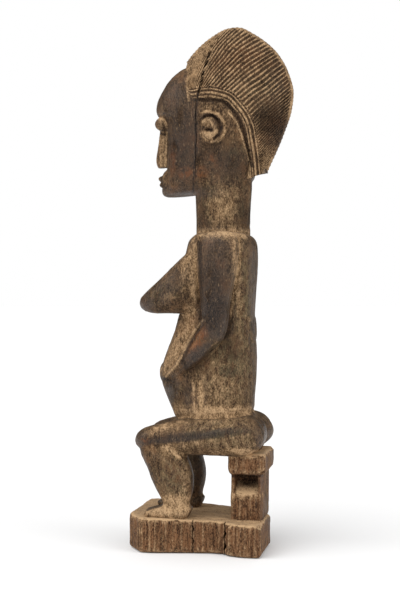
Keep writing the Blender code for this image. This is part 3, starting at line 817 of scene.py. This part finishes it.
def make_head():
    """Head and neck: the flat side planes, the face set in under the brow, and the ears."""
    shells = [
        tucked(level_shell(HEAD, count=90, sides=96, power=2.9)),
        level_shell(NECK, count=30, sides=80, power=2.1),
        limb_shell(NOSE, count=40, sides=32, side=1),
        ball_shell(*MUZZLE),
    ]
    shells += [ball_shell(*lip) for lip in LIPS]
    (x, y, z), radii = EYE
    for side in (1, -1):
        shells.append(ball_shell((side * x, y, z), radii))
        shells += ear_shells(side)
    head = new_object("head_and_neck", shells)
    remesh(head, HEAD_VOXEL)
    soften(head.data, *HEAD_SOFTENING)
    carve_marks(head.data, HEAD_MARKS)
    weather(head.data, uneven=0.22, grain=0.07)
    cut(head, crack_cutter())
    return head


def crack_cutter():
    """A wedge along the drying crack, which narrows inwards and towards its top."""
    rings = []
    top = CRACK[-1][0]
    for number, z in enumerate(np.linspace(CRACK[0][0], top, 60)):
        (y,) = through(CRACK, z)
        y += 0.35 * math.sin(number * 1.7) * math.sin(number * 0.61)
        half = CRACK_WIDTH / 2 * min(1, 0.3 + (top - z) / 9)
        mouth = [(CRACK_OUTSIDE, y + sign * half, z) for sign in (-1, 1)]
        rings.append([*mouth, (CRACK_INSIDE, y, z)])
    return new_object("crack", [loft(rings)])


def crest_surface():
    """The smooth crest as a grid of points, and for each column of it its place on the rim."""
    last = HAIRLINE[-1][0]
    places = np.linspace(0, last, GROOVES_AT[-1][1] * COLUMNS_PER_GROOVE + 1)
    grid = []
    for place in places:
        (lean,) = through(HAIR_LEAN, place)
        (bow,) = through(HAIR_BOW, place)
        u = min(max(place + lean, 0), last)
        start = through(HAIRLINE, u)
        along = through(HAIRLINE, min(u + 0.02, last)) - through(HAIRLINE, max(u - 0.02, 0))
        along /= np.linalg.norm(along)
        towards_ear = np.array((along[1], -along[0]))
        rim = through(RIM, place)
        outward = rim - np.array(CREST_MIDDLE)
        outward /= np.linalg.norm(outward)
        top = rim - outward * RIM_ROUNDING
        (half_width,) = through(HAIR_HALF_WIDTH, u)
        band = float(ramp(u, BAND_STARTS, BAND_FULL))
        nape = float(np.clip((u - NAPE_STARTS) / (last - NAPE_STARTS), 0, 1))
        reach = BAND_WIDTH * (BAND_LEAST + (1 - BAND_LEAST) * band)
        half = [(half_width - UNDER_HAIR, *(start + towards_ear * reach * (1 + nape)))]
        for share in np.linspace(1, 0, BAND_ROWS):
            lift = sum(
                high * math.exp(-(((share - middle) / wide) ** 2)) for middle, wide, high in BAND_RIDGES
            )
            drop = BAND_DROP * float(ramp(share, 0.72, 1.0))
            x = half_width - BAND_SUNK + band * lift - drop
            half.append((x, *(start + towards_ear * reach * share)))
        run = top - start
        side = np.array((-run[1], run[0])) / np.linalg.norm(run)
        for v in np.linspace(0, 1, HAIR_ROWS)[1:]:
            x = half_width + (RIM_HALF_THICKNESS - half_width) * v**CREST_BULGE
            half.append((x, *(start + run * v + side * bow * 4 * v * (1 - v))))
        for angle in (30, 60):
            c, s = math.cos(math.radians(angle)), math.sin(math.radians(angle))
            half.append((RIM_HALF_THICKNESS * c, *(top + outward * RIM_ROUNDED_HEIGHT * s)))
        half = np.array(half)
        tip = np.array((0, *(top + outward * RIM_ROUNDED_HEIGHT)))
        fade = np.linspace(1, 0, len(half))
        left = half - np.outer(fade * NAPE_DROP * nape, (0, 0, 1))
        grid.append(np.vstack((left, tip, half[::-1] * (-1, 1, 1))))
    return np.array(grid), places


def make_crest():
    """The fan of hair, with a hand-cut groove between each two locks, and the double band."""
    grid, places = crest_surface()
    columns, rows = grid.shape[:2]
    across = np.gradient(grid, axis=1)
    along = np.gradient(grid, axis=0)
    normal = np.cross(across, along)
    normal /= np.linalg.norm(normal, axis=2, keepdims=True) + 1e-9
    middle = grid.mean(axis=1, keepdims=True)
    normal *= np.sign(((grid - middle) * normal).sum(2, keepdims=True).mean())
    count = (rows - 1) // 2
    v = np.zeros(rows)
    hair = np.arange(1 + BAND_ROWS, count + 1)
    v[hair] = (hair - BAND_ROWS) / (count - BAND_ROWS)
    v[rows - 1 - hair] = v[hair]
    u = places[:, None] * np.ones(rows)
    flat = grid.reshape(-1, 3)
    wander = lattice_noise(flat, 19, 21).reshape(columns, rows)
    depth_noise = lattice_noise(flat, 9, 22).reshape(columns, rows)
    phase = np.interp(u, *zip(*GROOVES_AT)) + GROOVE_WANDER * wander * ramp(v, 0.05, 0.5)
    lock = abs(np.cos(math.pi * phase)) ** LOCK_SHARPNESS
    front = ramp(u, 1.2, 2.6)
    depth = GROOVE_DEPTH * (0.85 + 0.15 * front) * (1 + 0.35 * depth_noise)
    height = -(1 - lock) * depth * ramp(v, 0.0, 0.035) * (1 - 0.85 * ramp(v, 0.93, 1.0))
    beside_band = np.exp(-(((np.arange(rows) - BAND_ROWS) / 1.4) ** 2))
    stitches = STITCH_HEIGHT * np.sin(u * STITCHES) * beside_band
    height += stitches * ramp(u, BAND_STARTS, BAND_FULL)
    height[:, [0, -1]] = 0
    surface = grid + normal * height[..., None]
    crest = new_object("hair_crest", [loft(surface)])
    crest.data.shade_smooth()
    carve_marks(crest.data, [CREST_CRACK])
    weather(crest.data, uneven=0.16, grain=0.04)
    return crest


def make_body():
    """Trunk, breasts, arms, legs and feet."""
    shells = [
        level_shell(TRUNK, count=110, sides=110, power=2.6),
        level_shell(BELLY, count=80, sides=80, power=2.1),
        ball_shell(*NAVEL),
        ball_shell(*SEAT_FILLING),
    ]
    _, long, tall = TOE_RADII
    for side in (1, -1):
        shells += [
            limb_shell(BREAST, 60, 64, side, upright=True),
            limb_shell(ARM, 110, 56, side, power=2.5),
            limb_shell(THIGH, 90, 64, side, power=2.2),
            limb_shell(SHIN, 60, 60, side, power=2.3),
            limb_shell(FOOT, 40, 48, side, power=2.8),
        ]
        for toe in range(TOES["count"]):
            x = side * (TOES["first"] + TOES["pitch"] * toe)
            centre = (x, TOES["tip_y"] + long + TOES["step"] * toe, tall)
            shells.append(ball_shell(centre, TOE_RADII, sides=16, count=10))
    body = new_object("body", shells)
    remesh(body, BODY_VOXEL)
    soften(body.data, *BODY_SOFTENING)
    carve_marks(body.data, BODY_MARKS)
    weather(body.data, uneven=0.28, grain=0.08)
    return body


def block(low, high, edge):
    """A box between two corners, as an object with rounded edges."""
    (left, front, bottom), (right, back, top) = low, high
    outline = [(left, front), (right, front), (right, back), (left, back)]
    rings = [[(x, y, z) for x, y in outline] for z in (bottom, top)]
    obj = new_object("block", [loft(rings)])
    bevel = obj.modifiers.new("worn", "BEVEL")
    bevel.width = edge * MM
    bevel.segments = 3
    settle(obj)
    return obj


def shell_of(obj):
    """A helper object's mesh as a shell, and the helper out of the scene."""
    points = points_of(obj.data) - (0, -CENTRE_Y, PLINTH_TOP)
    faces = [list(polygon.vertices) for polygon in obj.data.polygons]
    bpy.data.objects.remove(obj, do_unlink=True)
    return points, faces


def plinth_shell():
    """The hewn block, pinched between feet and stool, and lower at the back."""
    rings = []
    for top in (False, True):
        ring = []
        for width_share, length_share in PLINTH_OUTLINE:
            x, y = width_share * PLINTH_WIDTH / 2, (length_share - 0.5) * PLINTH_LENGTH
            z = -PLINTH_FALL * y / PLINTH_LENGTH if top else -PLINTH_TOP
            ring.append((x, y + CENTRE_Y, z))
        rings.append(ring)
    obj = new_object("plinth", [loft(rings)])
    bevel = obj.modifiers.new("worn", "BEVEL")
    bevel.width = PLINTH_EDGE * MM
    bevel.segments = 3
    bevel.limit_method = "ANGLE"
    bevel.angle_limit = math.radians(40)
    settle(obj)
    return shell_of(obj)


def pocket_cutter(side):
    """The pocket in one side of the stool, whose floor slopes out to a worn lip."""
    half = STOOL_WIDTH / 2
    inside, outside = half - POCKET["depth"], half + OVERLAP
    profile = [
        (inside, SLAB_UNDERSIDE + 0.4),
        (inside, SLAB_UNDERSIDE - POCKET["inner"]),
        (half - 1, SLAB_UNDERSIDE - POCKET["lip"]),
        (outside, SLAB_UNDERSIDE - POCKET["mouth"]),
        (outside, SLAB_UNDERSIDE),
    ]
    ends = (STOOL_FRONT + POCKET["front_wall"], STOOL_BACK - POCKET["back_wall"])
    rings = [[(side * x, y, z) for x, z in profile] for y in ends]
    return new_object("pocket", [loft(rings)])


def split_cutter(share, seed):
    """A jagged wedge down the plinth's side."""
    x, y = share[0] * PLINTH_WIDTH / 2, (share[1] - 0.5) * PLINTH_LENGTH + CENTRE_Y
    rings = []
    for number, z in enumerate(np.linspace(-PLINTH_TOP - 2, 3, 24)):
        middle = y + SPLIT["wander"] * math.sin(number * 1.3 + seed) * math.sin(number * 0.47 + seed)
        half = SPLIT["half"] + SPLIT["uneven"] * math.sin(number * 0.9 + seed)
        mouth = [(x + SPLIT["outside"], middle + sign * half * 2, z) for sign in (-1, 1)]
        rings.append([*mouth, (x - SPLIT["inside"], middle, z)])
    return new_object("split", [loft(rings)])


def chip(mesh):
    """Wear of the base: upright grooves of the grain, dents and broken edges."""
    points, normals = points_of(mesh), normals_of(mesh)
    level = abs(normals[:, 2])
    side = 1 - ramp(level, 0.3, 0.8)
    top = ramp(normals[:, 2], 0.7, 0.95)
    broken = ramp(layered(points, BROKEN_EDGES), 0.35, 0.9)
    edge = ramp(-curvature(mesh), 0.02, 0.16)
    height = side * layered(points, SIDE_GROOVES) - BROKEN_DEPTH * broken * edge
    height += layered(points, DENTS) + top * layered(points, TOP_GRAIN)
    underside = ramp(points[:, 2], 0.3, 2.0)
    set_points(mesh, points + normals * (height * underside)[:, None])


def make_base():
    """Stool and plinth."""
    half = STOOL_WIDTH / 2
    low, high = (-half, STOOL_FRONT, -OVERLAP), (half, STOOL_BACK, SLAB_UNDERSIDE + OVERLAP)
    body = block(low, high, STOOL_EDGE)
    for side in (1, -1):
        cut(body, pocket_cutter(side))
    half = SLAB["width"] / 2
    slab = block((-half, SLAB["front"], SLAB_UNDERSIDE), (half, SLAB["back"], SEAT), SLAB["edge"])
    base = new_object("stool_and_plinth", [shell_of(body), shell_of(slab), plinth_shell()])
    remesh(base, BASE_VOXEL)
    soften(base.data, *BASE_SOFTENING)
    chip(base.data)
    for number, share in enumerate(SPLITS):
        cut(base, split_cutter(share, 2.0 * number))
    return base


def node(tree, kind, **settings):
    """A new node with these settings."""
    made = tree.nodes.new(kind)
    for key, value in settings.items():
        setattr(made, key, value)
    return made


def noise_node(places, size_mm, stretch, detail, roughness, offset=0.0):
    """Noise with features of about size_mm, stretched along the grain."""
    tree = places.id_data
    mapping = node(tree, "ShaderNodeMapping")
    mapping.inputs["Scale"].default_value = (1, 1, 1 / stretch)
    mapping.inputs["Location"].default_value = (offset, offset, offset)
    tree.links.new(places, mapping.inputs["Vector"])
    noise = node(tree, "ShaderNodeTexNoise")
    noise.inputs["Scale"].default_value = 1 / (size_mm * MM)
    noise.inputs["Detail"].default_value = detail
    noise.inputs["Roughness"].default_value = roughness
    tree.links.new(mapping.outputs["Vector"], noise.inputs["Vector"])
    return noise.outputs["Fac"]


def math_node(operation, first, second, clamp=False):
    """A sum, product or the like of an output and a number or another output."""
    tree = first.id_data
    made = node(tree, "ShaderNodeMath", operation=operation, use_clamp=clamp)
    for socket, value in zip(made.inputs, (first, second)):
        if isinstance(value, (int, float)):
            socket.default_value = value
        else:
            tree.links.new(value, socket)
    return made.outputs[0]


def scaled(value, factor):
    return math_node("MULTIPLY", value, factor)


def sum_node(*terms):
    """The sum of outputs, each times its factor."""
    total = None
    for value, factor in terms:
        term = scaled(value, factor)
        total = term if total is None else math_node("ADD", total, term)
    return total


def step_node(value, low, high):
    """0 up to low and 1 from high, smooth between. The two may be in either order."""
    tree = value.id_data
    made = node(tree, "ShaderNodeMapRange", interpolation_type="SMOOTHSTEP")
    made.inputs["From Min"].default_value = low
    made.inputs["From Max"].default_value = high
    tree.links.new(value, made.inputs["Value"])
    return made.outputs["Result"]


def blend_node(share, first, second):
    """A colour mix. Each colour is a tuple or an output."""
    tree = share.id_data
    made = node(tree, "ShaderNodeMix", data_type="RGBA")
    tree.links.new(share, made.inputs[0])
    for socket, value in ((made.inputs[6], first), (made.inputs[7], second)):
        if isinstance(value, tuple):
            socket.default_value = (*value, 1)
        else:
            tree.links.new(value, socket)
    return made.outputs[2]


def make_wood(name, dark, middle, streaks):
    """Dark wood under patina, crust, bare reddish patches, dust with a painted highlight, and dark patina
    with painted shade, as the attributes say.
    """
    wood = bpy.data.materials.new(name)
    wood.use_nodes = True
    tree = wood.node_tree
    shader = tree.nodes["Principled BSDF"]
    places = node(tree, "ShaderNodeTexCoord").outputs["Object"]
    masks = {
        word: node(tree, "ShaderNodeAttribute", attribute_name=word).outputs["Fac"]
        for word in ("dust_and_highlight", "polish", "rust", "crust", "patina_and_shade")
    }
    broad = noise_node(places, size_mm=11, stretch=1.6, detail=6, roughness=0.62)
    patch = noise_node(places, size_mm=4.2, stretch=1.4, detail=6, roughness=0.68, offset=3.1)
    speck = noise_node(places, size_mm=1.0, stretch=1.6, detail=4, roughness=0.70, offset=7.7)
    streak = noise_node(places, size_mm=1.5, stretch=9, detail=5, roughness=0.65, offset=1.7)
    scratch = noise_node(places, size_mm=0.8, stretch=5, detail=3, roughness=0.60, offset=9.1)

    tone = sum_node((broad, 0.25), (streak, streaks), (speck, 0.75 - streaks))
    ruddy = step_node(sum_node((broad, 0.5), (patch, 0.5)), 0.50, 0.60)
    crusty = math_node("MULTIPLY", masks["crust"], step_node(patch, 0.44, 0.56))
    polished = math_node("MULTIPLY", masks["polish"], step_node(broad, 0.30, 0.48))
    bare = math_node("MULTIPLY", masks["rust"], step_node(patch, 0.38, 0.58))
    scatter = sum_node((patch, 1.1), (speck, 0.9), (streak, 0.4), (masks["patina_and_shade"], -0.75))
    # Dust in ochre, which also paints the knee crease's highlight
    dust_and_highlight_share = step_node(sum_node((masks["dust_and_highlight"], 1.0), (scatter, 1.0)), 1.25, 2.15)
    pale = sum_node((patch, 0.4), (speck, 0.6), (masks["dust_and_highlight"], 0.16))
    ochre = blend_node(step_node(pale, 0.52, 0.74), DULL_DUST_AND_HIGHLIGHT, PALE_DUST_AND_HIGHLIGHT)
    # Black flecks at random, and where the attribute says, dark patina and painted shade
    black_and_shade = step_node(sum_node((patch, 0.4), (speck, 0.6)), 0.47, 0.38)
    patina_and_shade_share = math_node("ADD", scaled(step_node(speck, 0.60, 0.46), 0.4), 0.6)
    patina_and_shade_share = math_node("MULTIPLY", patina_and_shade_share, masks["patina_and_shade"])
    black_and_shade = math_node("MAXIMUM", scaled(black_and_shade, 0.6), patina_and_shade_share)
    flecks = step_node(scratch, 0.61, 0.70)

    colour = blend_node(step_node(tone, 0.40, 0.58), dark, middle)
    for share, strength, over in (
        (ruddy, 0.5, RUDDY),
        (crusty, 0.65, CRUSTED),
        (polished, 0.3, POLISHED),
        (bare, 1.0, BARE),
        (dust_and_highlight_share, 0.92, ochre),
        (black_and_shade, 0.95, BLACK_AND_SHADE),
        (flecks, 0.5, SCRATCHED),
    ):
        colour = blend_node(scaled(share, strength), colour, over)
    tree.links.new(colour, shader.inputs["Base Color"])

    rough = sum_node((speck, 0.3), (polished, -0.32), (dust_and_highlight_share, 0.3))
    rough = math_node("ADD", rough, 0.47, clamp=True)
    tree.links.new(rough, shader.inputs["Roughness"])
    gloss = math_node("ADD", scaled(polished, 0.30), 0.05)
    tree.links.new(gloss, shader.inputs["Specular IOR Level"])

    relief = sum_node((streak, streaks), (speck, 0.8), (patch, 0.4))
    bump = node(tree, "ShaderNodeBump")
    bump.inputs["Strength"].default_value = 0.8
    bump.inputs["Distance"].default_value = 0.8 * MM
    tree.links.new(relief, bump.inputs["Height"])
    tree.links.new(bump.outputs["Normal"], shader.inputs["Normal"])
    return wood


def dress(obj, hidden, wood, dust_base, dust_and_highlight_seen, on_edges, on_top, shade_in_hollows):
    """Write the piece's attributes, give it its wood, and let it ride and replace."""
    mesh = obj.data
    points, normals = points_of(mesh), normals_of(mesh)
    bend = curvature(mesh)
    recess = ramp(hidden, *RECESSED)
    hollow = ramp(bend, *BENT)
    edge = ramp(-bend, *BENT)
    polish = painted(points, normals, POLISH, 0.4)
    # Painted dust, with a painted highlight on the knee crease
    seen = np.maximum(painted(points, normals, DUST_AND_HIGHLIGHT, 0.3), lined(points, normals, DUST_AND_HIGHLIGHT_LINES))
    dust_and_highlight = dust_base + dust_and_highlight_seen * seen
    dust_and_highlight += 0.25 * recess + 0.15 * hollow + on_edges * edge - 0.25 * polish
    dust_and_highlight += on_top * ramp(normals[:, 2], *LOOKING_UP)
    # Dark patina and painted shade from the areas and lines, and painted shade in hollows and deep recesses
    patina_and_shade = np.maximum(painted(points, normals, DARK_PATINA_AND_SHADE, 0.2), lined(points, normals, SHADE_AND_DARK_LINES))
    patina_and_shade = np.maximum(patina_and_shade, shade_in_hollows * hollow)
    patina_and_shade = np.maximum(patina_and_shade, ramp(hidden, *DEEP_SHADE))
    set_attribute(mesh, "dust_and_highlight", dust_and_highlight)
    set_attribute(mesh, "polish", np.clip(polish + 0.3 * edge - 0.5 * recess, 0, 1))
    set_attribute(mesh, "rust", painted(points, normals, RUST, 0.0))
    set_attribute(mesh, "crust", painted(points, normals, CRUST, 0.4))
    set_attribute(mesh, "patina_and_shade", patina_and_shade)
    mesh.materials.clear()
    mesh.materials.append(wood)
    mesh.shade_smooth()
    mesh.set_sharp_from_angle(angle=SHARP_EDGE)
    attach(obj, "root")
    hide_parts(NODE)


def plain_material(name, colour, roughness):
    material = bpy.data.materials.new(name)
    material.use_nodes = True
    shader = material.node_tree.nodes["Principled BSDF"]
    shader.inputs["Base Color"].default_value = (*colour, 1)
    shader.inputs["Roughness"].default_value = roughness
    return material


def add_sun(name, place, softness, strength):
    """A wide, soft lamp that shines from a place towards the origin."""
    sun = bpy.data.objects.new(name, bpy.data.lights.new(name, "SUN"))
    sun.data.angle = math.radians(softness)
    sun.data.energy = strength
    sun.rotation_euler = Vector(place).to_track_quat("Z", "Y").to_euler()
    bpy.context.scene.collection.objects.link(sun)


def make_world():
    """A white studio: bright to the camera, less so as a light, and dim in reflections."""
    world = bpy.data.worlds.new("studio")
    world.use_nodes = True
    tree = world.node_tree
    background = tree.nodes["Background"]
    background.inputs["Color"].default_value = (1, 1, 1, 1)
    path = node(tree, "ShaderNodeLightPath").outputs
    strength = sum_node((path["Is Camera Ray"], 1.0), (path["Is Diffuse Ray"], WORLD_LIGHT))
    strength = math_node("MAXIMUM", strength, WORLD_REFLECTED)
    tree.links.new(strength, background.inputs["Strength"])
    bpy.context.scene.world = world


def make_stage():
    """A plain pale floor, soft light and the camera."""
    bpy.ops.mesh.primitive_circle_add(vertices=96, radius=30, fill_type="NGON", location=(0, 0, -0.0004))
    floor = bpy.context.object
    floor.name = "floor"
    floor.data.materials.append(plain_material("floor", (0.9, 0.9, 0.9), 0.9))
    make_world()
    add_sun("key", **KEY)
    add_sun("rear", **REAR)
    camera = bpy.data.objects.new("camera", bpy.data.cameras.new("camera"))
    bpy.context.scene.collection.objects.link(camera)
    camera.data.sensor_width = SENSOR
    camera.data.lens = FOCAL_PIXELS * SENSOR / max(PHOTO_SIZE)
    camera.location = (TARGET + DISTANCE * TOWARDS_CAMERA) * MM
    camera.rotation_euler = Vector(-TOWARDS_CAMERA).to_track_quat("-Z", "Y").to_euler()
    bpy.context.scene.camera = camera
    bpy.context.scene.view_settings.view_transform = "Standard"


figure_wood = make_wood("patinated_wood", streaks=0.25, **FIGURE_TONES)
base_wood = make_wood("worn_wood", streaks=0.35, **BASE_TONES)
parts = [make_head(), make_crest(), make_body(), make_base()]
woods = [figure_wood, figure_wood, figure_wood, base_wood]
looks = [FIGURE_LOOK, HAIR_LOOK, FIGURE_LOOK, BASE_LOOK]
for part, hidden, wood, look in zip(parts, hidden_share(parts), woods, looks):
    dress(part, hidden, wood, **look)
make_stage()
